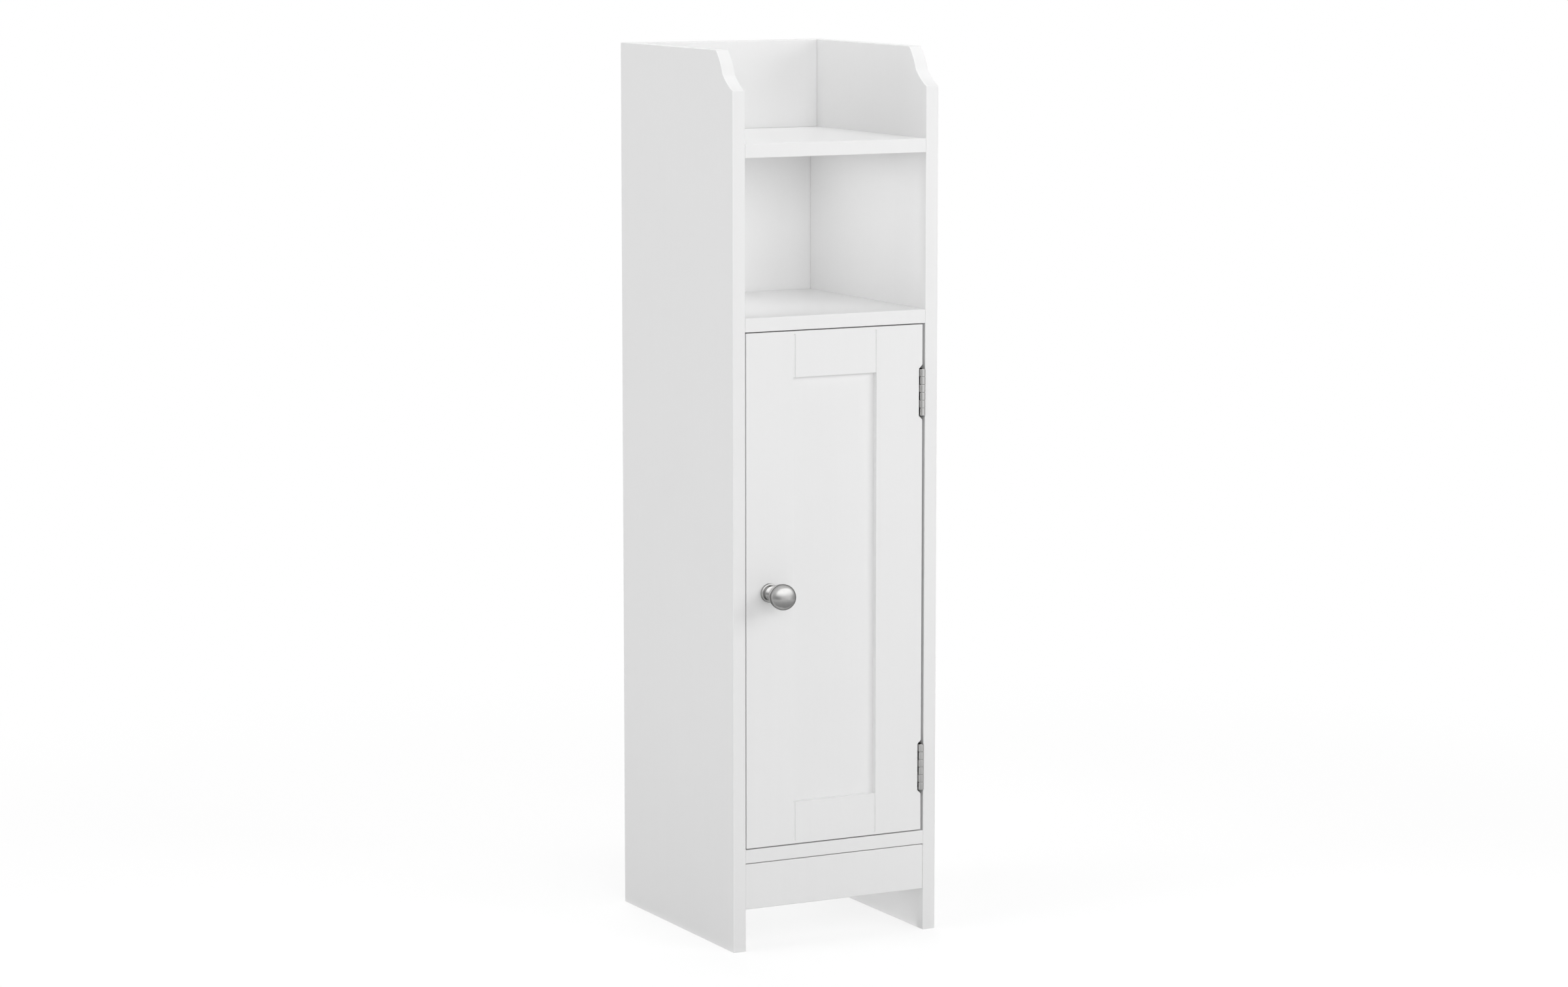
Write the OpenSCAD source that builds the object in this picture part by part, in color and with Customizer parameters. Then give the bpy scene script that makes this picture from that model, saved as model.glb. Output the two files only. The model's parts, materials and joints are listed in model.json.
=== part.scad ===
/* [Carcass] */
// Width over the outer faces of the side panels
width = 200; // [180:1:300]
// Depth of the side panels from front to rear edge
depth = 220; // [200:1:320]
// Height of the side panels above the floor
height = 780; // [740:1:900]
// Thickness of the painted fibreboard
board = 12; // [11:0.5:16]
// Floor to the underside of the cupboard's floor board
plinth_h = 78; // [72:1:120]
// Clear height inside the cupboard
cupboard_h = 451; // [430:1:480]
// Clear height from the gallery shelf to the top of the sides
gallery_h = 78.5; // [70:0.5:100]
// Thickness of the hardboard back
back_t = 3; // [2.5:0.5:4]
// Distance from the hardboard to the rear edges of the sides
back_inset = 2; // [1:0.5:5]
// Depth of the grooves that hold the hardboard
groove_depth = 4; // [3:0.5:6]

/* [Ogee of the side panels] */
// Length of the cut along the top edge, from the front
ogee_run = 31.5; // [28:0.5:45]
// Height of the cut down the front edge
ogee_drop = 33.4; // [30:0.2:45]
// Distance of the crease between the two arcs from the front
crease_run = 18.9; // [15:0.1:22]
// Distance of the crease below the top edge
crease_drop = 19.8; // [17:0.1:23]
// Rise of each arc over its chord
ogee_bow = 1.35; // [0.8:0.05:2]

/* [Toe board] */
// Floor to the lower edge of the toe board
toe_clear = 37; // [25:1:40]
// Distance of the toe board behind the front edges
toe_setback = 0.5; // [0.2:0.1:8]
// Shadow gap between the toe board and the cupboard's floor board
toe_gap = 0.8; // [0.4:0.1:2]

/* [Adjustable shelf] */
// Cupboard floor to the row of shelf pins in use
pin_up = 215; // [120:1:300]
// Distance between rows of shelf pin holes
pin_pitch = 32; // [25:1:40]
// Distance of the pin holes from the shelf's front and rear edges
pin_edge = 25; // [15:1:40]
// Front edge of the shelf behind the front of the cabinet
shelf_front = 31; // [30:1:60]
// Diameter of a shelf pin
pin_d = 5; // [4:0.5:6]
// Length of a shelf pin inside the side panel
pin_in = 8; // [6:0.5:9]
// Length of a shelf pin under the shelf
pin_out = 8; // [6:0.5:10]
// Diameter of the collar on a shelf pin
pin_collar_d = 7; // [6.5:0.5:8]
// Thickness of the collar on a shelf pin
pin_collar_t = 1; // [0.8:0.1:1.2]

/* [Door] */
// Thickness of the door
door_t = 12; // [11:0.5:16]
// Width of the door's flat borders at the left and right
stile_w = 45.6; // [40:0.1:50]
// Height of the door's flat border at the top
top_rail_h = 40; // [34:0.5:60]
// Height of the door's flat border at the bottom
bottom_rail_h = 37; // [34:0.5:60]
// Depth of the routed recess
recess_depth = 6; // [4:0.5:7]
// Radius of the round-bottomed grooves at the ends of the rails
quirk_r = 1.15; // [0.8:0.05:1.5]
// Distance of the grooves' round ends from the door's edges
quirk_stop = 2.4; // [2:0.1:5]

/* [Knob] */
// Height of the knob above the lower edge of the door
knob_up = 223.5; // [150:0.5:300]
// Knob axis to the door's left edge
knob_in = 21.8; // [18:0.1:24]
// Diameter of the knob's flange
knob_flange_d = 16.3; // [15:0.1:20]
// Thickness of the knob's flange
knob_flange_t = 3.2; // [2.6:0.1:4]
// Radius that rounds the edge of the flange
knob_flange_round = 1; // [0.6:0.1:1.2]
// Diameter of the knob's neck where it is thinnest
knob_neck_d = 7.6; // [7:0.1:9]
// Radius of the hollow that forms the neck
knob_neck_r = 8.2; // [7.5:0.1:9]
// Diameter of the steps at both ends of the neck
knob_step_d = 13; // [12:0.1:14]
// Diameter of the ball
knob_ball_d = 22.4; // [20:0.1:26]
// Centre of the ball in front of the door
knob_ball_out = 26.5; // [25:0.1:28]
// Thickness of the bead behind the ball
knob_bead_t = 2.2; // [1.6:0.1:2.6]
// Outer diameter of the bead behind the ball
knob_bead_d = 20.9; // [20:0.1:22]
// Centre of the bead in front of the door
knob_bead_out = 21; // [20.5:0.1:22]
// Diameter of the knob's machine screw
knob_screw_d = 4; // [3:0.5:5]
// Length of the knob's screw inside the knob
knob_screw_in = 8; // [6:0.5:10]
// Diameter of the head of the knob's screw
knob_head_d = 7.6; // [7:0.1:10]
// Height of the head of the knob's screw
knob_head_h = 2.6; // [2:0.1:3.5]

/* [Hinges] */
// Length of a hinge
hinge_len = 41; // [36:1:60]
// Number of knuckles on a hinge
knuckle_n = 6; // [4:2:8]
// Diameter of the barrel
barrel_d = 4.8; // [4.4:0.1:5]
// Diameter of the hinge pin
hinge_pin_d = 2; // [1.6:0.1:2.4]
// Thickness of the leaves
leaf_t = 1; // [0.8:0.1:1.2]
// Barrel axis to the inner face of the side panel
barrel_in = 2.7; // [2.7:0.1:3]
// Barrel axis in front of the door's face
barrel_out = 0.6; // [0.5:0.1:1.5]
// Rear edge of the frame leaf behind the front of the cabinet
frame_leaf_w = 24; // [22:0.5:26]
// Width of the door leaf on the back of the door
door_leaf_w = 20; // [18:0.5:24]
// Upper hinge centre to the door's upper edge
hinge_from_top = 59.5; // [45:0.5:90]
// Lower hinge centre to the door's lower edge
hinge_from_bottom = 56.5; // [45:0.5:90]
// Distance between the two screws of a leaf
leaf_screw_pitch = 24; // [20:1:28]
// Depth of the notch beside the barrel
notch_side = 0.7; // [0.4:0.1:1]

/* [Screws] */
// Diameter of the small wood screws
screw_d = 2.6; // [2.4:0.1:3]
// Head diameter of the small wood screws
screw_head_d = 5.2; // [5:0.1:6]
// Height of the countersunk heads
screw_head_h = 1.5; // [1.3:0.1:1.8]
// Length of the small wood screws
screw_len = 9; // [7:0.5:9.5]

/* [Magnetic catch] */
// Catch centre to the inner face of the left side panel
catch_in = 48; // [40:1:70]
// Width of the catch's case without its ears
catch_w = 24; // [22:1:30]
// Height of the catch's case
catch_h = 13; // [12:0.5:15]
// Depth of the catch's case
catch_depth = 14; // [12:0.5:15]
// Length of each ear
catch_ear = 10; // [9:0.5:12]
// Thickness of the ears
catch_ear_t = 2.4; // [2:0.1:3]
// Width of the magnet
magnet_w = 16; // [14:0.5:18]
// Height of the magnet
magnet_h = 4; // [3:0.5:5]
// Depth of the magnet
magnet_depth = 9; // [7:0.5:9.5]
// Thickness of the pole plates
pole_t = 1.2; // [1:0.1:1.5]
// Length of the pole plates in front of the case
pole_out = 0.5; // [0.3:0.1:1]
// Width of the strike plate
strike_w = 30; // [26:1:36]
// Height of the strike plate
strike_h = 9; // [8:0.5:10]
// Thickness of the strike plate
strike_t = 1.2; // [1:0.1:1.6]

/* [Board fixings] */
// Diameter of the bore for a cam lock
cam_bore_d = 12; // [10:0.5:14]
// Height of a cam lock
cam_h = 9; // [8.5:0.1:9.4]
// Cam lock centre to the end of its board
cam_setback = 24; // [20:1:34]
// First and last fixing to the shelf's front and rear edges
fixing_edge = 37; // [36:1:45]
// Cam bolt to the dowel beside it
dowel_pitch = 32; // [20:1:32]
// Upright boards' fixings to their upper and lower edges
upright_edge = 12; // [10:0.5:13]
// Diameter of a cam bolt's thread
bolt_thread_d = 5; // [4.5:0.5:6]
// Length of a cam bolt's thread
bolt_thread_len = 8.8; // [8:0.1:9.4]
// Diameter of a cam bolt's shank
bolt_shank_d = 5; // [4.5:0.5:5.5]
// Diameter of a cam bolt's neck
bolt_neck_d = 3; // [2.6:0.1:3.5]
// Length of a cam bolt's neck
bolt_neck_len = 4.5; // [4:0.5:6]
// Length of a cam bolt's head
bolt_head_len = 3; // [2.5:0.1:3.5]
// Diameter of a dowel
dowel_d = 6; // [5:1:6]
// Length of a dowel inside the side panel
dowel_in = 8; // [6:0.5:9]
// Length of a dowel inside its board
dowel_out = 17; // [12:1:24]
// Bevel at the ends of pins and dowels
end_bevel = 0.6; // [0.4:0.1:0.8]

/* [Clearances] */
// Gap between the door's left edge and the side panel
door_gap_side = 0.8; // [0.8:0.1:1.5]
// Gap above and below the door
door_gap = 1; // [0.6:0.1:2]
// Gap between the door's hinged edge and the side panel
door_gap_hinge = 2.5; // [2.3:0.1:3]
// Play of the hardboard in its grooves, on each side
back_play = 0.2; // [0.1:0.05:0.3]
// Gap between the adjustable shelf and each side panel
shelf_gap = 1.5; // [1.3:0.1:2]
// Gap between the adjustable shelf and the hardboard
shelf_rear_gap = 2; // [1:0.5:6]
// Play of pins, dowels, cams and screws in their holes, on each side
hole_play = 0.1; // [0.05:0.01:0.15]
// Room at the bottom of a blind hole
hole_spare = 0.5; // [0.3:0.1:0.8]
// Play of the hinge pin in the knuckles, on each side
pin_play = 0.05; // [0.03:0.01:0.08]
// Gap between neighbouring knuckles
knuckle_gap = 0.2; // [0.15:0.01:0.3]
// Room between a leaf and the other leaf's knuckles
leaf_play = 0.3; // [0.25:0.05:0.5]
// Room above and below a leaf in its notch
notch_play = 0.25; // [0.2:0.05:0.5]
// Gap between the strike plate and the pole plates when closed
strike_gap = 0.2; // [0.15:0.05:0.5]

/* [Hidden] */
$fn = 48;
cut = 1;
inner = width / 2 - board;
knob_reach = knob_ball_out + knob_ball_d / 2;
front_y = (knob_reach - depth) / 2;

groove_y = depth - back_inset - back_t - 2 * back_play;
shelf_depth = groove_y;
floor_z = plinth_h + board;
top_z = floor_z + cupboard_h;
gallery_z = height - gallery_h - board;
gallery_floor = gallery_z + board;
toe_top = plinth_h - toe_gap;

door_left = -inner + door_gap_side;
door_right = inner - door_gap_hinge;
door_bottom = floor_z + door_gap;
door_top = top_z - door_gap;
recess_left = door_left + stile_w;
recess_right = door_right - stile_w;
recess_bottom = door_bottom + bottom_rail_h;
recess_top = door_top - top_rail_h;

hinge_x = inner - barrel_in;
barrel_r = barrel_d / 2;
upper_hinge_z = door_top - hinge_from_top;
lower_hinge_z = door_bottom + hinge_from_bottom;
knuckle_pitch = hinge_len / knuckle_n;
leaf_start = barrel_r - barrel_out + leaf_play;
notch_x = hinge_x - barrel_r - notch_side;
notch_len = hinge_len + 2 * notch_play;
frame_screw_y = (door_t + frame_leaf_w) / 2;
door_screw_x = notch_x - door_leaf_w / 2;

knob_x = door_left + knob_in;
knob_z = door_bottom + knob_up;

shelf_levels = [plinth_h, top_z, gallery_z];
bolt_ys = [fixing_edge, shelf_depth - fixing_edge];
dowel_ys = [fixing_edge + dowel_pitch, shelf_depth - fixing_edge - dowel_pitch];
gallery_back_y = shelf_depth - board / 2;
toe_y = toe_setback + board / 2;
gallery_bolts = [[gallery_back_y, gallery_floor + upright_edge]];
gallery_dowels = [[gallery_back_y, height - upright_edge]];
toe_bolts = [[toe_y, toe_clear + upright_edge]];
toe_dowels = [[toe_y, toe_top - upright_edge]];
bolt_head_end = cam_setback + bolt_head_len / 2;
bolt_bore_d = bolt_shank_d + 6 * hole_play;

shelf_rear = shelf_depth - shelf_rear_gap;
pin_ys = [shelf_front + pin_edge, shelf_rear - pin_edge];
pin_z = floor_z + pin_up;
pin_rows = [-1, 0, 1];
shelf_z = pin_z + pin_d / 2;

catch_x = -inner + catch_in;
strike_y = door_t + strike_t;
pole_y = strike_y + strike_gap;
case_y = pole_y + pole_out;
pole_z = top_z - (catch_h + catch_ear_t) / 2;
case_screw_y = case_y + catch_depth / 2;
case_screw_x = (catch_w + catch_ear) / 2;
pocket_w = magnet_w + 2 * hole_play;
pocket_h = magnet_h + 2 * pole_t + 4 * hole_play;
pocket_depth = magnet_depth + hole_spare;

// Y of a point that lies d behind the front edges
function behind(d) = front_y + d;

// Centre of the circle through a and b that rises by bow over their chord,
// on the right-hand side when looking from a to b
function arc_radius(a, b, bow) = (norm(b - a) ^ 2 / 4 + bow ^ 2) / (2 * bow);
function arc_centre(a, b, bow) =
    (a + b) / 2 + (arc_radius(a, b, bow) - bow) * [b[1] - a[1], a[0] - b[0]] / norm(b - a);

// Turns an outline drawn in depth and height into a board of thickness t
module upright_board(x, t) {
    translate([x, front_y, 0])
        rotate([90, 0, 90])
            linear_extrude(t) children();
}

// Board that spans the two side panels
module cross_board(y, z, size_y, size_z) {
    translate([-inner, behind(y), z])
        cube([2 * inner, size_y, size_z]);
}

// Puts a fixing at the inner face of the right side panel: its +Z points into
// the panel, its +X out of the face that the cam lock enters
module at_side(y, z, turn = 0) {
    translate([inner, behind(y), z])
        rotate([0, 90, 0])
            rotate([0, 0, turn]) children();
}

module both_sides() {
    children();
    mirror([1, 0, 0]) children();
}

// Round pin with bevelled ends, from z0 to z1
module bevelled_pin(d, z0, z1) {
    translate([0, 0, z0])
        cylinder(d1 = d - 2 * end_bevel, d2 = d, h = end_bevel);
    translate([0, 0, z0 + end_bevel])
        cylinder(d = d, h = z1 - z0 - 2 * end_bevel);
    translate([0, 0, z1 - end_bevel])
        cylinder(d1 = d, d2 = d - 2 * end_bevel, h = end_bevel);
}

// Cross-shaped driver recess, sunk from z = 0 to z = depth_in
module driver_cross(span, depth_in) {
    for (turn = [0, 90])
        rotate([0, 0, turn])
            translate([-span / 2, -span / 10, -cut])
                cube([span, span / 5, depth_in + cut]);
}

module ogee_cut() {
    top = [ogee_run, height];
    crease = [crease_run, height - crease_drop];
    foot = [0, height - ogee_drop];
    difference() {
        union() {
            polygon([
                top, crease, foot,
                [-cut, height - ogee_drop], [-cut, height + cut], [ogee_run, height + cut]
            ]);
            intersection() {
                translate(arc_centre(foot, crease, -ogee_bow))
                    circle(r = arc_radius(foot, crease, ogee_bow), $fn = 180);
                translate([0, height - ogee_drop - ogee_bow])
                    square([crease_run, ogee_drop - crease_drop + ogee_bow]);
            }
        }
        intersection() {
            translate(arc_centre(crease, top, ogee_bow))
                circle(r = arc_radius(crease, top, ogee_bow), $fn = 180);
            translate([0, height - crease_drop])
                square([ogee_run + ogee_bow, crease_drop]);
        }
    }
}

// Side panels

module back_groove() {
    translate([inner - cut, behind(groove_y), plinth_h - back_play])
        cube([groove_depth + cut, back_t + 2 * back_play, height]);
}

module bolt_hole() {
    translate([0, 0, -cut])
        cylinder(d = bolt_thread_d + 2 * hole_play, h = bolt_thread_len + hole_spare + cut);
}

module dowel_side_hole() {
    translate([0, 0, -cut])
        cylinder(d = dowel_d + 2 * hole_play, h = dowel_in + hole_spare + cut);
}

module pin_hole() {
    translate([0, 0, -cut])
        cylinder(d = pin_d + 2 * hole_play, h = pin_in + hole_spare + cut);
}

module side_machining() {
    back_groove();
    for (z = shelf_levels) {
        for (y = bolt_ys) at_side(y, z + board / 2) bolt_hole();
        for (y = dowel_ys) at_side(y, z + board / 2) dowel_side_hole();
    }
    for (p = concat(gallery_bolts, toe_bolts)) at_side(p[0], p[1]) bolt_hole();
    for (p = concat(gallery_dowels, toe_dowels)) at_side(p[0], p[1]) dowel_side_hole();
    for (row = pin_rows)
        for (y = pin_ys) at_side(y, pin_z + row * pin_pitch) pin_hole();
}

module side_blank(x) {
    upright_board(x, board)
        difference() {
            square([depth, height]);
            ogee_cut();
        }
}

module side_panel_left() {
    color("white")
        difference() {
            side_blank(-inner - board);
            mirror([1, 0, 0]) side_machining();
        }
}

module side_panel_right() {
    color("white")
        difference() {
            side_blank(inner);
            side_machining();
            for (z = [upper_hinge_z, lower_hinge_z]) frame_screw_places(z) screw_void();
        }
}

// Boards between the side panels

module board_bores(bolts, dowels, turn) {
    both_sides() {
        for (p = bolts) at_side(p[0], p[1], turn) {
            translate([0, 0, -cam_setback])
                cylinder(d = bolt_bore_d, h = cam_setback + cut);
            translate([board / 2 + cut, 0, -cam_setback])
                rotate([0, -90, 0])
                    cylinder(d = cam_bore_d, h = cam_h + hole_spare + cut);
        }
        for (p = dowels) at_side(p[0], p[1])
            translate([0, 0, -dowel_out - hole_spare])
                cylinder(d = dowel_d + 2 * hole_play, h = dowel_out + hole_spare + cut);
    }
}

module fixed_shelf(z) {
    bolts = [for (y = bolt_ys) [y, z + board / 2]];
    dowels = [for (y = dowel_ys) [y, z + board / 2]];
    difference() {
        cross_board(0, z, shelf_depth, board);
        board_bores(bolts, dowels, 0);
    }
}

module gallery_shelf() {
    color("white") fixed_shelf(gallery_z);
}

module cabinet_top() {
    color("white")
        difference() {
            fixed_shelf(top_z);
            catch_screw_places() screw_void();
        }
}

module cabinet_bottom() {
    color("white") fixed_shelf(plinth_h);
}

module gallery_back() {
    color("white")
        difference() {
            cross_board(shelf_depth - board, gallery_floor, board, gallery_h);
            board_bores(gallery_bolts, gallery_dowels, 90);
        }
}

module toe_board() {
    color("white")
        difference() {
            cross_board(toe_setback, toe_clear, board, toe_top - toe_clear);
            board_bores(toe_bolts, toe_dowels, 90);
        }
}

module back_panel() {
    half = inner + groove_depth - back_play;
    color("whitesmoke")
        translate([-half, behind(groove_y + back_play), plinth_h])
            cube([2 * half, back_t, height - plinth_h]);
}

module adjustable_shelf() {
    half = inner - shelf_gap;
    color("white")
        translate([-half, behind(shelf_front), shelf_z])
            cube([2 * half, shelf_rear - shelf_front, board]);
}

// Fixings

module shelf_pin() {
    translate([0, 0, -pin_collar_t])
        cylinder(d = pin_collar_d, h = pin_collar_t);
    bevelled_pin(pin_d, -pin_collar_t - pin_out, pin_in);
}

module shelf_pins() {
    color("silver")
        both_sides()
            for (y = pin_ys) at_side(y, pin_z) shelf_pin();
}

module cam_lock() {
    difference() {
        translate([board / 2, 0, -cam_setback])
            rotate([0, -90, 0])
                difference() {
                    cylinder(d = cam_bore_d - 2 * hole_play, h = cam_h);
                    driver_cross(cam_bore_d / 2, 1.6);
                }
        translate([0, 0, -bolt_head_end - hole_spare])
            cylinder(d = bolt_bore_d, h = cam_bore_d);
    }
}

module cam_bolt() {
    neck_end = cam_setback - bolt_head_len / 2;
    cylinder(d = bolt_thread_d, h = bolt_thread_len - end_bevel);
    translate([0, 0, bolt_thread_len - end_bevel])
        cylinder(d1 = bolt_thread_d, d2 = bolt_thread_d - 2 * end_bevel, h = end_bevel);
    translate([0, 0, -neck_end + bolt_neck_len])
        cylinder(d = bolt_shank_d, h = neck_end - bolt_neck_len);
    translate([0, 0, -neck_end])
        cylinder(d = bolt_neck_d, h = bolt_neck_len);
    translate([0, 0, -bolt_head_end])
        cylinder(d1 = bolt_shank_d - 2 * end_bevel, d2 = bolt_shank_d, h = end_bevel);
    translate([0, 0, -bolt_head_end + end_bevel])
        cylinder(d = bolt_shank_d, h = bolt_head_len - end_bevel);
}

module bolt_places() {
    both_sides() {
        for (z = shelf_levels)
            for (y = bolt_ys) at_side(y, z + board / 2) children();
        for (p = concat(gallery_bolts, toe_bolts)) at_side(p[0], p[1], 90) children();
    }
}

module dowel_places() {
    both_sides() {
        for (z = shelf_levels)
            for (y = dowel_ys) at_side(y, z + board / 2) children();
        for (p = concat(gallery_dowels, toe_dowels)) at_side(p[0], p[1]) children();
    }
}

module cam_locks() {
    color("gainsboro") bolt_places() cam_lock();
}

module cam_bolts() {
    color("silver") bolt_places() cam_bolt();
}

module wood_dowels() {
    color("burlywood") dowel_places() bevelled_pin(dowel_d, -dowel_out, dowel_in);
}

// Countersunk wood screw: its head's face is at z = 0, its point at z = screw_len
module wood_screw() {
    difference() {
        union() {
            cylinder(d1 = screw_head_d, d2 = screw_d, h = screw_head_h);
            translate([0, 0, screw_head_h])
                cylinder(d = screw_d, h = screw_len - screw_head_h - screw_d / 2);
            translate([0, 0, screw_len - screw_d / 2])
                cylinder(d1 = screw_d, d2 = screw_d / 4, h = screw_d / 2);
        }
        driver_cross(screw_head_d / 2, screw_head_h * 0.6);
    }
}

module screw_void() {
    cylinder(d1 = screw_head_d + 2 * hole_play, d2 = screw_d + 2 * hole_play, h = screw_head_h);
    translate([0, 0, -cut])
        cylinder(d = screw_head_d + 2 * hole_play, h = cut);
    translate([0, 0, screw_head_h])
        cylinder(d = screw_d + 2 * hole_play, h = screw_len - screw_head_h + hole_spare);
}

// Hinges

module frame_screw_places(z) {
    for (s = [-1, 1])
        translate([inner - leaf_t, behind(frame_screw_y), z + s * leaf_screw_pitch / 2])
            rotate([0, 90, 0]) children();
}

module door_screw_places(z) {
    for (s = [-1, 1])
        translate([door_screw_x, behind(door_t + leaf_t), z + s * leaf_screw_pitch / 2])
            rotate([90, 0, 0]) children();
}

// Places for every second knuckle, counted from the top
module knuckle_places(z, first) {
    for (i = [first : 2 : knuckle_n - 1])
        translate([0, front_y, z + hinge_len / 2 - (i + 1) * knuckle_pitch + knuckle_gap / 2])
            linear_extrude(knuckle_pitch - knuckle_gap) children();
}

module barrel_circle() {
    translate([hinge_x, -barrel_out]) circle(d = barrel_d);
}

module pin_bore(z) {
    translate([hinge_x, behind(-barrel_out), z - hinge_len / 2 - cut])
        cylinder(d = hinge_pin_d + 2 * pin_play, h = hinge_len + 2 * cut);
}

module frame_leaf(z) {
    color("silver")
        difference() {
            union() {
                translate([inner - leaf_t, behind(leaf_start), z - hinge_len / 2])
                    cube([leaf_t, frame_leaf_w - leaf_start, hinge_len]);
                knuckle_places(z, 1) {
                    barrel_circle();
                    translate([inner - leaf_t, barrel_out / 2])
                        square([leaf_t, leaf_start]);
                }
            }
            pin_bore(z);
            frame_screw_places(z) screw_void();
        }
}

// Neck of the door leaf, from the barrel to the plate on the door's edge
module door_leaf_neck() {
    centre = [hinge_x, -barrel_out];
    polygon([
        [notch_x, leaf_start + leaf_t], [notch_x, leaf_start],
        centre + barrel_r * [cos(170), sin(170)],
        centre + barrel_r * [cos(120), sin(120)],
        [notch_x + leaf_t, leaf_start], [notch_x + leaf_t, leaf_start + leaf_t]
    ]);
}

module door_leaf(z) {
    color("silver")
        difference() {
            union() {
                translate([notch_x, behind(leaf_start), z - hinge_len / 2])
                    cube([leaf_t, door_t + leaf_t - leaf_start, hinge_len]);
                translate([notch_x - door_leaf_w, behind(door_t), z - hinge_len / 2])
                    cube([door_leaf_w + leaf_t, leaf_t, hinge_len]);
                knuckle_places(z, 0) {
                    barrel_circle();
                    door_leaf_neck();
                }
            }
            pin_bore(z);
            door_screw_places(z) screw_void();
        }
}

module hinge_pin(z) {
    color("silver")
        translate([hinge_x, behind(-barrel_out), z])
            bevelled_pin(hinge_pin_d, -hinge_len / 2, hinge_len / 2);
}

module hinge_upper_frame_leaf() {
    frame_leaf(upper_hinge_z);
}

module hinge_lower_frame_leaf() {
    frame_leaf(lower_hinge_z);
}

module hinge_upper_door_leaf() {
    door_leaf(upper_hinge_z);
}

module hinge_lower_door_leaf() {
    door_leaf(lower_hinge_z);
}

module hinge_upper_pin() {
    hinge_pin(upper_hinge_z);
}

module hinge_lower_pin() {
    hinge_pin(lower_hinge_z);
}

module hinge_frame_screws() {
    color("silver")
        for (z = [upper_hinge_z, lower_hinge_z]) frame_screw_places(z) wood_screw();
}

module hinge_door_screws() {
    color("silver")
        for (z = [upper_hinge_z, lower_hinge_z]) door_screw_places(z) wood_screw();
}

// Door

// Clearance for a hinge in the door's edge, with ends sloping at 45 degrees
module hinge_notch(z) {
    deep = door_right - notch_x;
    translate([0, behind(door_t + cut), z])
        rotate([90, 0, 0])
            linear_extrude(door_t + 2 * cut)
                polygon([
                    [notch_x, -notch_len / 2], [notch_x, notch_len / 2],
                    [door_right, notch_len / 2 + deep], [door_right + cut, notch_len / 2 + deep],
                    [door_right + cut, -notch_len / 2 - deep], [door_right, -notch_len / 2 - deep]
                ]);
}

// Round-bottomed groove beside a stile, from z0 inside the recess to its round end at z1
module quirk(x, z0, z1) {
    translate([x, front_y, min(z0, z1)])
        cylinder(r = quirk_r, h = abs(z1 - z0));
    translate([x, front_y, z1])
        sphere(r = quirk_r);
}

module door() {
    quirk_top = door_top - quirk_stop - quirk_r;
    quirk_bottom = door_bottom + quirk_stop + quirk_r;
    color("white")
        difference() {
            translate([door_left, front_y, door_bottom])
                cube([door_right - door_left, door_t, door_top - door_bottom]);
            translate([recess_left, front_y - cut, recess_bottom])
                cube([recess_right - recess_left, recess_depth + cut, recess_top - recess_bottom]);
            for (x = [recess_left + quirk_r, recess_right - quirk_r]) {
                quirk(x, recess_top - cut, quirk_top);
                quirk(x, recess_bottom + cut, quirk_bottom);
            }
            for (z = [upper_hinge_z, lower_hinge_z]) {
                hinge_notch(z);
                door_screw_places(z) screw_void();
            }
            strike_screw_place() screw_void();
            at_knob()
                translate([0, 0, -door_t - cut])
                    cylinder(d = knob_screw_d + 4 * hole_play, h = door_t + 2 * cut);
        }
}

// Knob: +Z points out of the door's face
module at_knob() {
    translate([knob_x, front_y, knob_z])
        rotate([90, 0, 0]) children();
}

module knob_profile() {
    neck_mid = (knob_flange_t + knob_bead_out) / 2;
    flange_r = knob_flange_d / 2;
    bead_r = knob_bead_t / 2;
    intersection() {
        union() {
            square([flange_r, knob_flange_t - knob_flange_round]);
            square([flange_r - knob_flange_round, knob_flange_t]);
            translate([flange_r - knob_flange_round, knob_flange_t - knob_flange_round])
                circle(r = knob_flange_round);
            difference() {
                square([knob_step_d / 2, knob_bead_out]);
                translate([knob_neck_d / 2 + knob_neck_r, neck_mid])
                    circle(r = knob_neck_r, $fn = 96);
            }
            translate([0, knob_bead_out - bead_r])
                square([knob_bead_d / 2 - bead_r, knob_bead_t]);
            translate([knob_bead_d / 2 - bead_r, knob_bead_out])
                circle(r = bead_r);
            translate([0, knob_ball_out])
                circle(d = knob_ball_d, $fn = 96);
        }
        square([knob_ball_d, knob_reach]);
    }
}

module door_knob() {
    color("silver")
        at_knob()
            difference() {
                rotate_extrude($fn = 96) knob_profile();
                translate([0, 0, -cut])
                    cylinder(d = knob_screw_d + 2 * hole_play, h = knob_screw_in + hole_spare + cut);
            }
}

module knob_screw() {
    color("silver")
        at_knob()
            difference() {
                union() {
                    translate([0, 0, -door_t - knob_head_h])
                        cylinder(d1 = knob_head_d - 2 * end_bevel, d2 = knob_head_d, h = end_bevel);
                    translate([0, 0, -door_t - knob_head_h + end_bevel])
                        cylinder(d = knob_head_d, h = knob_head_h - end_bevel);
                    translate([0, 0, -door_t])
                        cylinder(d = knob_screw_d, h = door_t + knob_screw_in);
                }
                translate([0, 0, -door_t - knob_head_h])
                    driver_cross(knob_head_d / 2, knob_head_h * 0.6);
            }
}

// Magnetic catch

module catch_screw_places() {
    for (s = [-1, 1])
        translate([catch_x + s * case_screw_x, behind(case_screw_y), top_z - catch_ear_t])
            children();
}

module strike_screw_place() {
    translate([catch_x, behind(strike_y), pole_z])
        rotate([90, 0, 0]) children();
}

// Block around the pole centre, from y behind the front
module catch_block(w, h, y, size_y) {
    translate([catch_x - w / 2, behind(y), pole_z - h / 2])
        cube([w, size_y, h]);
}

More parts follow.
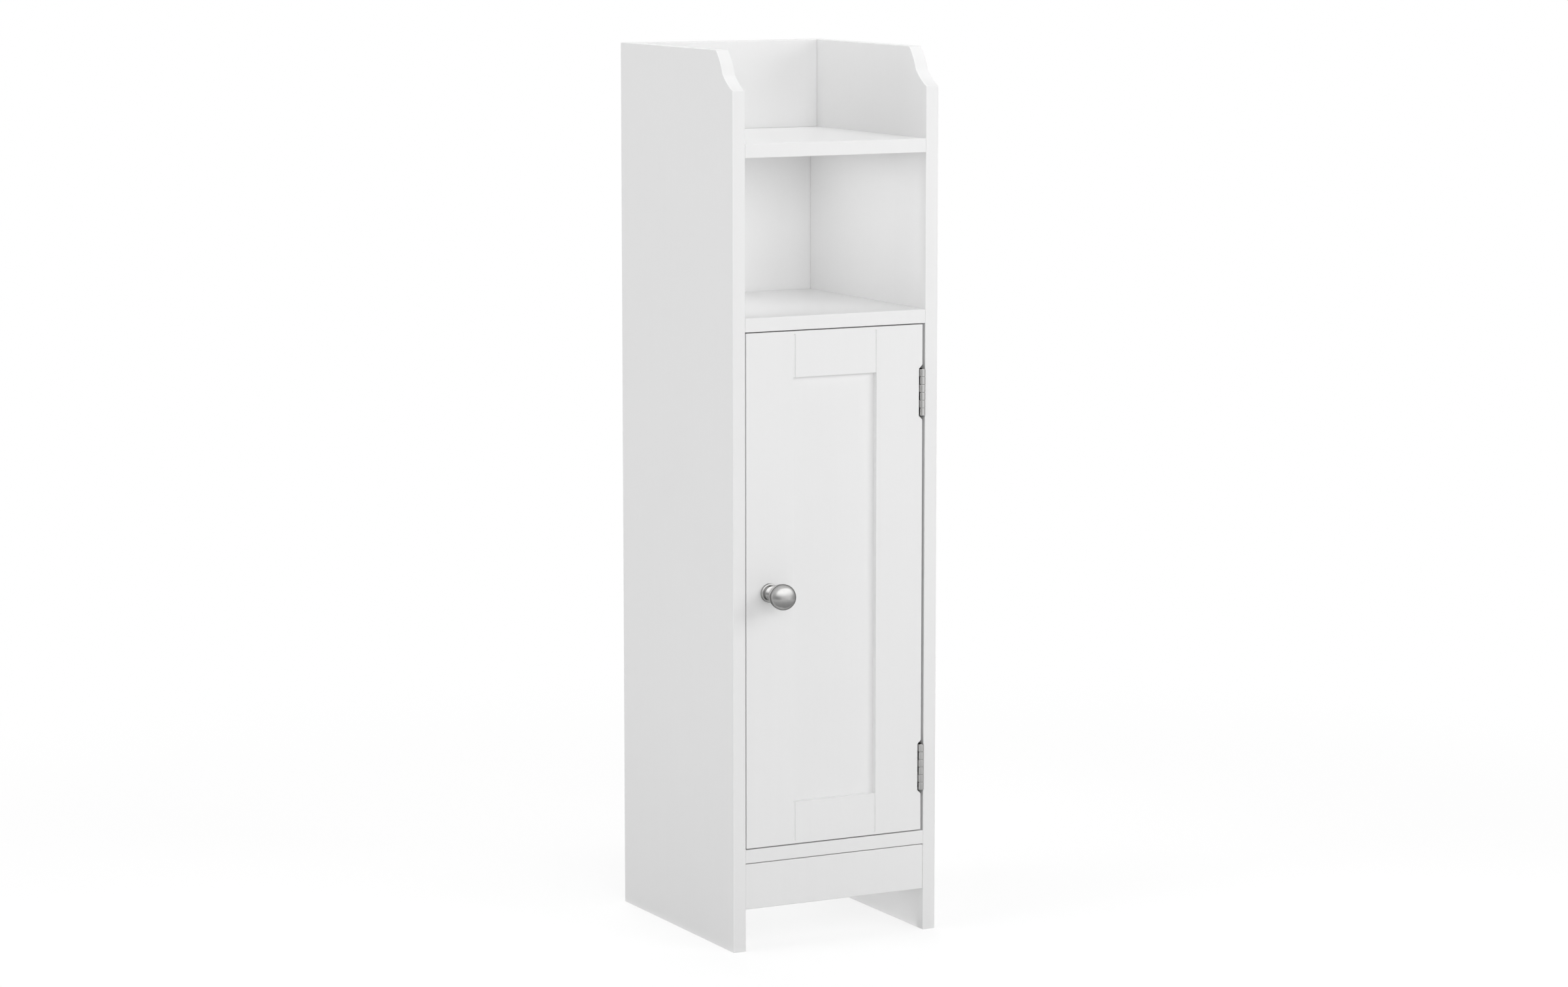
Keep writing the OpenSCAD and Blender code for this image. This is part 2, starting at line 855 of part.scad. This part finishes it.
module catch_case() {
    half = catch_w / 2 + catch_ear;
    color("white")
        difference() {
            union() {
                translate([catch_x - catch_w / 2, behind(case_y), top_z - catch_h])
                    cube([catch_w, catch_depth, catch_h]);
                translate([catch_x - half, behind(case_y), top_z - catch_ear_t])
                    cube([2 * half, catch_depth, catch_ear_t]);
            }
            catch_block(pocket_w, pocket_h, case_y - cut, pocket_depth + cut);
            catch_screw_places() screw_void();
        }
}

module catch_magnet() {
    color("dimgray")
        catch_block(magnet_w, magnet_h, case_y, magnet_depth);
}

module catch_pole_plates() {
    color("silver")
        for (s = [-1, 1])
            translate([0, 0, s * (magnet_h + pole_t + 2 * hole_play) / 2])
                catch_block(magnet_w, pole_t, pole_y, magnet_depth + pole_out);
}

module catch_screws() {
    color("silver") catch_screw_places() wood_screw();
}

module strike_plate() {
    color("silver")
        difference() {
            catch_block(strike_w, strike_h, door_t, strike_t);
            strike_screw_place() screw_void();
        }
}

module strike_screw() {
    color("silver") strike_screw_place() wood_screw();
}

side_panel_left();
side_panel_right();
gallery_shelf();
gallery_back();
cabinet_top();
cabinet_bottom();
back_panel();
toe_board();
adjustable_shelf();
shelf_pins();
cam_locks();
cam_bolts();
wood_dowels();
hinge_upper_frame_leaf();
hinge_lower_frame_leaf();
hinge_upper_pin();
hinge_lower_pin();
hinge_frame_screws();
catch_case();
catch_magnet();
catch_pole_plates();
catch_screws();
door();
door_knob();
knob_screw();
hinge_upper_door_leaf();
hinge_lower_door_leaf();
hinge_door_screws();
strike_plate();
strike_screw();
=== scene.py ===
"""Narrow white bathroom cabinet: paint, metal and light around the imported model."""
import json
import math

import bmesh
import bpy
import numpy as np
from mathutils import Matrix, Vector

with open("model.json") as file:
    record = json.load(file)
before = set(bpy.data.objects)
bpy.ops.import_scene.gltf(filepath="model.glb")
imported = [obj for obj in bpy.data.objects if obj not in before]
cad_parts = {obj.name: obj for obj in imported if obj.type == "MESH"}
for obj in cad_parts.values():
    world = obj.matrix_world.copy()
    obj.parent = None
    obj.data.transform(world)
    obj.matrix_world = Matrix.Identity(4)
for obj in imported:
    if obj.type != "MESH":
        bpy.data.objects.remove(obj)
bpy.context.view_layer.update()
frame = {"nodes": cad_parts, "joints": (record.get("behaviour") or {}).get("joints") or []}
nodes = frame["nodes"]

MM = 0.001


def colour(red, green, blue):
    """Linear colour, with the alpha that a socket wants."""
    return (red, green, blue, 1.0)


def grey(level):
    return colour(level, level, level)


WHITE = grey(1.0)


class Value:
    """A shader socket that stands in arithmetic: each operation adds its Math node."""

    def __init__(self, finish, socket):
        self.finish = finish
        self.socket = socket

    def maths(self, operation, first, second):
        return self.finish.node("ShaderNodeMath", {"operation": operation}, {0: first, 1: second})

    def __add__(self, other):
        return self.maths("ADD", self, other)

    def __radd__(self, other):
        return self.maths("ADD", other, self)

    def __sub__(self, other):
        return self.maths("SUBTRACT", self, other)

    def __rsub__(self, other):
        return self.maths("SUBTRACT", other, self)

    def __mul__(self, other):
        return self.maths("MULTIPLY", self, other)

    def __rmul__(self, other):
        return self.maths("MULTIPLY", other, self)

    def above(self, level):
        """1 where the value is above the level, otherwise 0."""
        return self.maths("GREATER_THAN", self, level)


class Finish:
    """The shader nodes of one material, or of the world."""

    def __init__(self, owner):
        owner.use_nodes = True
        self.tree = owner.node_tree
        self.tree.nodes.clear()

    def node(self, kind, settings=None, inputs=None, output=0):
        """Adds a node: its settings first, then the values or links of its sockets."""
        made = self.tree.nodes.new(kind)
        for key, value in (settings or {}).items():
            setattr(made, key, value)
        for key, value in (inputs or {}).items():
            if isinstance(value, Value):
                self.tree.links.new(value.socket, made.inputs[key])
            else:
                made.inputs[key].default_value = value
        return Value(self, made.outputs[output]) if made.outputs else None

    def place(self, stretch=(1, 1, 1), offset=(0, 0, 0)):
        """Position in the object's own coordinates, stretched and shifted."""
        where = self.node("ShaderNodeTexCoord", output="Object")
        return self.node("ShaderNodeMapping", inputs={
            "Vector": where, "Location": offset, "Scale": stretch})

    def coordinate(self, vector, axis):
        """The X, Y or Z of a vector."""
        return self.node("ShaderNodeSeparateXYZ", inputs={0: vector}, output=axis)

    def distance(self):
        """Distance from the object's own origin."""
        return self.node("ShaderNodeVectorMath", {"operation": "LENGTH"}, {0: self.place()},
                         output="Value")

    def noise(self, scale, detail=2.0, stretch=(1, 1, 1), offset=(0, 0, 0)):
        """Noise from 0 to 1, with scale features to the metre."""
        return self.node("ShaderNodeTexNoise", inputs={
            "Vector": self.place(stretch, offset), "Scale": scale, "Detail": detail})

    def blend(self, share, first, second):
        """Colour between first and second."""
        return self.node("ShaderNodeMix", {"data_type": "RGBA"}, {0: share, 6: first, 7: second},
                         output=2)

    def relief(self, height, depth, under=None):
        """Surface normal of a relief that is depth metres deep."""
        inputs = {"Height": height, "Strength": 1.0, "Distance": depth}
        if under:
            inputs["Normal"] = under
        return self.node("ShaderNodeBump", inputs=inputs)

    def ramp(self, value, reach, levels):
        """Eases from the first level to the second while value goes through reach."""
        return self.node("ShaderNodeMapRange", {"interpolation_type": "SMOOTHSTEP"}, {
            "Value": value, "From Min": reach[0], "From Max": reach[1],
            "To Min": levels[0], "To Max": levels[1]})

    def glow(self, light, strength=1.0):
        """Shader that shines with the given colour or level."""
        return self.node("ShaderNodeEmission", inputs={"Color": light, "Strength": strength})

    def seen_apart(self, lighting, shown):
        """One shader for the rays that light the scene and another for those that look at it."""
        rays = [self.node("ShaderNodeLightPath", output=kind)
                for kind in ("Is Camera Ray", "Is Glossy Ray", "Is Transmission Ray")]
        seen = (rays[0] + rays[1] + rays[2]).above(0.5)
        return self.node("ShaderNodeMixShader", inputs={0: seen, 1: lighting, 2: shown})

    def surface(self, **sockets):
        """Ends the material with a principled surface."""
        inputs = {key.replace("_", " "): value for key, value in sockets.items()}
        self.end(self.node("ShaderNodeBsdfPrincipled", inputs=inputs))

    def end(self, shader):
        self.node("ShaderNodeOutputMaterial", inputs={"Surface": shader})


def new_finish(name):
    """A new material and its shader nodes."""
    material = bpy.data.materials.new(name)
    return material, Finish(material)


# Finishes

def sprayed_paint(name, shift):
    """Satin white lacquer on fibreboard: fine orange peel, faint upright rolling marks."""
    material, finish = new_finish(name)
    broad = finish.noise(7.0, offset=shift)
    streaks = finish.noise(260.0, detail=3.0, stretch=(1, 1, 0.02), offset=shift)
    peel = finish.noise(900.0, detail=1.0, offset=shift)
    swell = finish.noise(45.0, detail=1.0, offset=shift)
    shade = broad * 0.6 + streaks * 0.4
    swollen = finish.relief(swell, 60e-6)
    finish.surface(
        Base_Color=finish.blend(shade, grey(0.864), grey(0.896)),
        Roughness=0.27 + streaks * 0.08 + peel * 0.06,
        IOR=1.5,
        Normal=finish.relief(peel, 5e-6, swollen))
    return material


def press_marks(finish, stretch):
    """Fine ribs from the screen that the board was pressed on."""
    return finish.node("ShaderNodeTexWave", {"wave_profile": "SIN"}, {
        "Vector": finish.place(stretch), "Scale": 180.0, "Distortion": 0.6,
        "Detail": 1.0, "Detail Scale": 0.4}, output="Fac")


def hardboard():
    """Thin white board: smooth lacquer in front, press marks behind."""
    material, finish = new_finish("white_hardboard")
    marks = press_marks(finish, (1, 0, 0)) + press_marks(finish, (0, 0, 1))
    facing = finish.node("ShaderNodeTexCoord", output="Normal")
    back = finish.coordinate(facing, "Y").above(0.5)
    cloud = finish.noise(14.0, detail=3.0)
    fibre = finish.noise(700.0, detail=3.0)
    pressed = finish.relief(marks * back, 40e-6)
    finish.surface(
        Base_Color=finish.blend(cloud * 0.6 + fibre * 0.4, grey(0.815), grey(0.855)),
        Roughness=0.34 + back * 0.22 + fibre * 0.06,
        IOR=1.5,
        Normal=finish.relief(fibre, 4e-6, pressed))
    return material


def polished_nickel():
    """Bright nickel plate on rolled steel, with fine marks along the roll."""
    material, finish = new_finish("bright_nickel")
    marks = finish.noise(900.0, stretch=(1, 1, 0.08))
    haze = finish.noise(160.0)
    finish.surface(
        Base_Color=finish.blend(haze, colour(0.60, 0.597, 0.590), colour(0.68, 0.677, 0.670)),
        Metallic=1.0,
        Specular_Tint=grey(0.25),
        Roughness=0.06 + marks * 0.06 + haze * 0.04,
        Normal=finish.relief(marks, 1e-6))
    return material


def turned_nickel():
    """Satin nickel on a turned knob: fine rings around its axis."""
    material, finish = new_finish("satin_nickel")
    rings = finish.noise(2600.0, detail=1.0, stretch=(0.02, 1, 0.02))
    haze = finish.noise(220.0)
    finish.surface(
        Base_Color=finish.blend(haze, colour(0.50, 0.498, 0.493), colour(0.56, 0.558, 0.553)),
        Metallic=1.0,
        Specular_Tint=grey(0.15),
        Roughness=0.16 + rings * 0.04 + haze * 0.04,
        Normal=finish.relief(rings, 0.4e-6))
    return material


def zinc_plate():
    """Bright zinc plate with a cool, slightly cloudy passivation."""
    material, finish = new_finish("zinc_plated_steel")
    cloud = finish.noise(260.0, detail=3.0)
    grain = finish.noise(1800.0)
    finish.surface(
        Base_Color=finish.blend(cloud, colour(0.52, 0.535, 0.55), colour(0.66, 0.675, 0.69)),
        Metallic=1.0,
        Roughness=0.24 + cloud * 0.14,
        Normal=finish.relief(grain, 3e-6))
    return material


def die_cast():
    """Die-cast zinc, dull grey with a pebbly skin."""
    material, finish = new_finish("cast_zinc")
    skin = finish.noise(1100.0, detail=4.0)
    stain = finish.noise(120.0)
    finish.surface(
        Base_Color=finish.blend(stain, colour(0.40, 0.41, 0.42), colour(0.54, 0.55, 0.56)),
        Metallic=1.0,
        Roughness=0.42 + skin * 0.16,
        Normal=finish.relief(skin, 12e-6))
    return material


def beech():
    """Beech dowel: pale brown with short dark flecks along its length."""
    material, finish = new_finish("beech_dowel")
    fibre = finish.noise(500.0, detail=4.0, stretch=(0.05, 1, 1))
    fleck = finish.noise(900.0, detail=1.0, stretch=(0.25, 1, 1), offset=(3, 1, 2)).above(0.66)
    pale = colour(0.62, 0.43, 0.27)
    dark = colour(0.46, 0.29, 0.17)
    finish.surface(
        Base_Color=finish.blend(fibre + fleck * 0.35, pale, dark),
        Roughness=0.55 + fibre * 0.15,
        IOR=1.45,
        Normal=finish.relief(fibre, 30e-6))
    return material


def moulded_plastic():
    """White moulded plastic with a fine spark-eroded grain."""
    material, finish = new_finish("white_plastic")
    erosion = finish.noise(2400.0)
    flow = finish.noise(60.0)
    finish.surface(
        Base_Color=finish.blend(flow, colour(0.80, 0.80, 0.79), colour(0.84, 0.84, 0.83)),
        Roughness=0.40 + erosion * 0.12,
        IOR=1.49,
        Normal=finish.relief(erosion, 8e-6))
    return material


def ferrite():
    """Dark sintered ferrite with a chalky bloom."""
    material, finish = new_finish("dark_ferrite")
    grain = finish.noise(3000.0, detail=4.0)
    bloom = finish.noise(300.0, detail=3.0)
    finish.surface(
        Base_Color=finish.blend(bloom, grey(0.035), grey(0.085)),
        Roughness=0.55 + grain * 0.20,
        IOR=1.8,
        Normal=finish.relief(grain, 10e-6))
    return material


finishes = {
    "painted_board": sprayed_paint("painted_board", shift=(0, 0, 0)),
    "painted_door": sprayed_paint("painted_door", shift=(2.3, 1.1, 0.4)),
    "white_hardboard": hardboard(),
    "bright_nickel": polished_nickel(),
    "satin_nickel": turned_nickel(),
    "zinc_plated_steel": zinc_plate(),
    "cast_zinc": die_cast(),
    "beech_dowel": beech(),
    "white_plastic": moulded_plastic(),
    "dark_ferrite": ferrite(),
}


# Rounded edges

# Radius of the rounding along the outer edges of each node, in millimetres
EDGE_ROUNDING = {
    "side_panel_left": 0.5,
    "side_panel_right": 0.5,
    "gallery_shelf": 0.45,
    "gallery_back": 0.45,
    "cabinet_top": 0.45,
    "cabinet_bottom": 0.45,
    "toe_board": 0.9,
    "back_panel": 0.3,
    "adjustable_shelf": 0.5,
    "door": 0.45,
    "hinge_upper_frame_leaf": 0.3,
    "hinge_lower_frame_leaf": 0.3,
    "hinge_upper_door_leaf": 0.3,
    "hinge_lower_door_leaf": 0.3,
    "catch_case": 0.4,
    "catch_magnet": 0.15,
    "catch_pole_plates": 0.1,
    "strike_plate": 0.2,
}
# Shortest edge that is rounded: the rims of bores are made of shorter ones and stay sharp
SHORTEST = 1.0 * MM
# The hinge barrels' rims are rounded all the same: they lie this far from the hinge's axis
BARREL = (2.0 * MM, 2.6 * MM)
HINGE_AXIS = Vector(frame["joints"][0]["pos_m"][:2])
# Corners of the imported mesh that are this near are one
WELD_GAP = 0.002 * MM
# Faces that turn less than this are one
FLAT = math.radians(0.3)
# Edges where the surface turns more than this are rounded
SHARP = math.radians(31)
# Edges that still turn more than this after the rounding are shaded as a crease
CREASE = math.radians(40)


def on_barrel_rim(edge):
    """Whether the edge is level and lies on the rim of a hinge barrel."""
    level = abs(edge.verts[0].co.z - edge.verts[1].co.z) < WELD_GAP
    from_axis = [(vert.co.xy - HINGE_AXIS).length for vert in edge.verts]
    return level and min(from_axis) > BARREL[0] and max(from_axis) < BARREL[1]


def width_beside(edge, face):
    """How far the face reaches from its edge."""
    start, end = (vert.co for vert in edge.verts)
    along = (end - start).normalized()
    return max((vert.co - start).cross(along).length for vert in face.verts)


def outer_lines(mesh, radius):
    """Both ends of each sharp outward edge that has room for the rounding on both sides."""
    shape = bmesh.new()
    shape.from_mesh(mesh)
    bmesh.ops.remove_doubles(shape, verts=shape.verts, dist=WELD_GAP)
    bmesh.ops.dissolve_limit(shape, angle_limit=FLAT, verts=shape.verts, edges=shape.edges)
    lines = [[list(vert.co) for vert in edge.verts] for edge in shape.edges
             if edge.is_convex and edge.calc_face_angle() > SHARP
             and (edge.calc_length() > SHORTEST or on_barrel_rim(edge))
             and min(width_beside(edge, face) for face in edge.link_faces) > radius]
    shape.free()
    return np.array(lines)


def edge_weights(mesh, radius):
    """1 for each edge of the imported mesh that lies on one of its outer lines, otherwise 0."""
    places = np.array([vert.co for vert in mesh.vertices])
    ends = np.array([edge.vertices for edge in mesh.edges])
    weights = np.zeros(len(ends))
    for start, end in outer_lines(mesh, radius):
        along = end - start
        share = np.clip((places - start) @ along / (along @ along), 0, 1)
        gap = np.linalg.norm(places - start - share[:, None] * along, axis=1)
        weights[(gap < 2 * WELD_GAP)[ends].all(axis=1)] = 1
    return weights


def round_edges(piece, radius):
    """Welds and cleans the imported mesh, then rounds its outer edges."""
    mesh = piece.data
    rounded = mesh.attributes.new("bevel_weight_edge", "FLOAT", "EDGE")
    rounded.data.foreach_set("value", edge_weights(mesh, radius))
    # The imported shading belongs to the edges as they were
    for name in ("custom_normal", "sharp_edge", "sharp_face"):
        attribute = mesh.attributes.get(name)
        if attribute:
            mesh.attributes.remove(attribute)
    mesh.polygons.foreach_set("use_smooth", [True] * len(mesh.polygons))
    weld = piece.modifiers.new("weld", "WELD")
    weld.merge_threshold = WELD_GAP
    clean = piece.modifiers.new("clean", "DECIMATE")
    clean.decimate_type = "DISSOLVE"
    clean.angle_limit = FLAT
    rounding = piece.modifiers.new("rounding", "BEVEL")
    rounding.width = radius
    rounding.segments = 3
    rounding.limit_method = "WEIGHT"
    rounding.use_clamp_overlap = False
    rounding.miter_outer = "MITER_ARC"
    crease = piece.modifiers.new("crease", "EDGE_SPLIT")
    crease.split_angle = CREASE
    piece.modifiers.new("even_shading", "WEIGHTED_NORMAL")


for name, piece in nodes.items():
    for holder in piece.material_slots:
        holder.material = finishes[holder.material.name]
    if name in EDGE_ROUNDING:
        round_edges(piece, EDGE_ROUNDING[name] * MM)


# Floor and surround, in metres

FLOOR_HALF = 12.0
# The floor takes light and shadow near the cabinet and fades to plain white between these distances
FLOOR_FADE = (0.5, 1.3)
SURROUND_RADIUS = 1.9
DOME_MIDDLE = (0, 0, 0.3)
DISC_MIDDLE = (0, 0, 0.003)


def add_object(name, data):
    """Puts new data in the scene."""
    made = bpy.data.objects.new(name, data)
    bpy.context.scene.collection.objects.link(made)
    return made


def lay_floor():
    """Floor that takes a soft shadow near the cabinet and looks white further off."""
    mesh = bpy.data.meshes.new("floor")
    corners = [(-FLOOR_HALF, -FLOOR_HALF, 0), (FLOOR_HALF, -FLOOR_HALF, 0),
               (FLOOR_HALF, FLOOR_HALF, 0), (-FLOOR_HALF, FLOOR_HALF, 0)]
    mesh.from_pydata(corners, [], [(0, 1, 2, 3)])
    floor = add_object("floor", mesh)
    material, finish = new_finish("pale_floor")
    mesh.materials.append(material)
    far = finish.ramp(finish.distance(), FLOOR_FADE, (0.0, 1.0))
    matt = finish.node("ShaderNodeBsdfDiffuse", inputs={"Color": grey(0.45)})
    near = finish.node("ShaderNodeAddShader", inputs={0: matt, 1: finish.glow(WHITE, 0.64)})
    shown = finish.node("ShaderNodeMixShader", inputs={0: far, 1: near, 2: finish.glow(WHITE)})
    bounce = finish.node("ShaderNodeBsdfDiffuse", inputs={"Color": grey(0.8)})
    finish.end(finish.seen_apart(bounce, shown))


def reflected_only(name, shape, place, level):
    """Studio surface that lights nothing and that only reflections see."""
    mesh = bpy.data.meshes.new(name)
    shape.to_mesh(mesh)
    shape.free()
    surface = add_object(name, mesh)
    surface.location = place
    material, finish = new_finish(name)
    mesh.materials.append(material)
    finish.end(finish.glow(level(finish)))
    surface.visible_camera = False
    surface.visible_diffuse = False
    surface.visible_shadow = False
    surface.visible_transmission = False
    surface.visible_volume_scatter = False
    return surface


def far_sides(finish, across):
    """What the surround loses to the far left and the far right."""
    left = finish.ramp(across, (-1.0, -0.50), (-0.40, 0.0))
    right = finish.ramp(across, (0.50, 1.0), (0.0, -0.36))
    return left + right


def dome_level(finish):
    """Pale all round, darker at the far sides and brightest above in front.

    The dome is a ball of radius 1 that is scaled up, so its coordinates go from -1 to 1.
    """
    across, along, height = (finish.coordinate(finish.place(), axis) for axis in "XYZ")
    front = finish.ramp(along, (0.25, -0.15), (0.0, 1.0))
    rise = finish.ramp(across, (-0.55, 0.20), (-0.06, 0.10)) * front
    low = finish.ramp(height, (0.0, 0.7), (1.0, 0.0))
    upper = finish.ramp(height, (0.05, 0.80), (0.0, 1.0)) * front
    pale = finish.ramp(height, (-0.15, 0.10), (0.80, 0.86))
    sides = pale + (rise + far_sides(finish, across)) * low
    return sides * (1 - upper) + upper * 1.75


def disc_level(finish):
    """Grey around the cabinet, paler further out, with the dome's dark sides further apart."""
    across = finish.coordinate(finish.place(stretch=(0.7, 1, 1)), "X")
    middle = finish.ramp(finish.distance(), (0.05, 1.2), (0.36, 0.75))
    return middle + far_sides(finish, across) * 0.6


def lay_surround():
    """Dome and floor disc that give the metals something to reflect."""
    ball = bmesh.new()
    bmesh.ops.create_uvsphere(ball, u_segments=64, v_segments=32, radius=1.0)
    dome = reflected_only("reflected_surround", ball, DOME_MIDDLE, dome_level)
    dome.scale = (SURROUND_RADIUS, SURROUND_RADIUS, SURROUND_RADIUS)
    disc = bmesh.new()
    bmesh.ops.create_circle(disc, cap_ends=True, segments=64, radius=SURROUND_RADIUS)
    reflected_only("reflected_floor", disc, DISC_MIDDLE, disc_level)


# Light

AMBIENT = 0.35
MIDDLE = (0, 0, 0.4)
UPPER = (0, 0, 0.55)
# Each lamp's place, the point it aims at and its size in metres, then its power in watts
SOFT_BOXES = (
    ("front", (-0.52, -2.94, 1.11), MIDDLE, (1.8, 1.2), 21.4),
    ("front_left", (-2.59, -1.49, 1.11), MIDDLE, (1.8, 1.2), 3.2),
    ("left", (-2.8, 0.2, 1.0), MIDDLE, (1.8, 1.6), 22.4),
    ("near_right", (0.7, -1.2, 0.95), UPPER, (0.9, 0.6), 5.2),
    ("overhead", (0.0, 0.1, 1.8), UPPER, (0.9, 0.6), 5.5),
    ("rear", (0.9, 2.6, 1.4), MIDDLE, (1.8, 1.6), 20.0),
)
# Small fills in the open compartment and under the toe board, which the camera doesn't see
FILLS = (
    ("compartment_left", (-0.085, 0.02, 0.60), (0.1, 0.02, 0.60), (0.18, 0.10), 0.030),
    ("compartment_ceiling", (0, 0, 0.685), (0, 0.0001, 0.5), (0.12, 0.17), 0.037),
    ("compartment_opening", (0, -0.085, 0.627), (0, 0.1, 0.627), (0.165, 0.115), 0.011),
    ("toe_space_floor", (0, 0.015, 0.0003), (0, 0.0151, 1.0), (0.176, 0.19), 0.056),
)


def light_world():
    """Weak light from all round, which itself looks white."""
    world = bpy.data.worlds.new("studio")
    bpy.context.scene.world = world
    sky = Finish(world)
    soft = sky.node("ShaderNodeBackground", inputs={"Color": WHITE, "Strength": AMBIENT})
    white = sky.node("ShaderNodeBackground", inputs={"Color": WHITE, "Strength": 1.0})
    sky.node("ShaderNodeOutputWorld", inputs={"Surface": sky.seen_apart(soft, white)})


def soft_box(name, place, aim, size, power):
    """Rectangular lamp that aims at a point and isn't reflected."""
    data = bpy.data.lights.new(name, "AREA")
    data.shape = "RECTANGLE"
    data.size, data.size_y = size
    data.energy = power
    lamp = add_object(name, data)
    lamp.location = place
    lamp.rotation_mode = "QUATERNION"
    lamp.rotation_quaternion = (Vector(aim) - Vector(place)).to_track_quat("-Z", "Y")
    lamp.visible_glossy = False
    return lamp


lay_floor()
light_world()
for box in SOFT_BOXES:
    soft_box(*box)
for fill in FILLS:
    soft_box(*fill).visible_camera = False
lay_surround()


# Camera, as fitted to the photo's edges

# In pixels of the photo
PICTURE_WIDTH = 2400
FOCAL_LENGTH = 6760.23
# In millimetres
SENSOR_WIDTH = 36.0
# In metres
CAMERA_PLACE = (-1.7870, -3.4343, 0.9330)
FAR_LIMIT = 50.0
# In degrees, to the right of straight on and downwards
YAW = 27.4449
PITCH = 8.0529


def place_camera():
    """The photo's own view."""
    lens = bpy.data.cameras.new("camera")
    lens.sensor_fit = "HORIZONTAL"
    lens.sensor_width = SENSOR_WIDTH
    lens.lens = FOCAL_LENGTH / PICTURE_WIDTH * SENSOR_WIDTH
    lens.clip_end = FAR_LIMIT
    camera = add_object("camera", lens)
    camera.location = CAMERA_PLACE
    camera.rotation_euler = (math.radians(90 - PITCH), 0, math.radians(-YAW))
    bpy.context.scene.camera = camera


place_camera()
bpy.context.scene.view_settings.view_transform = "Standard"
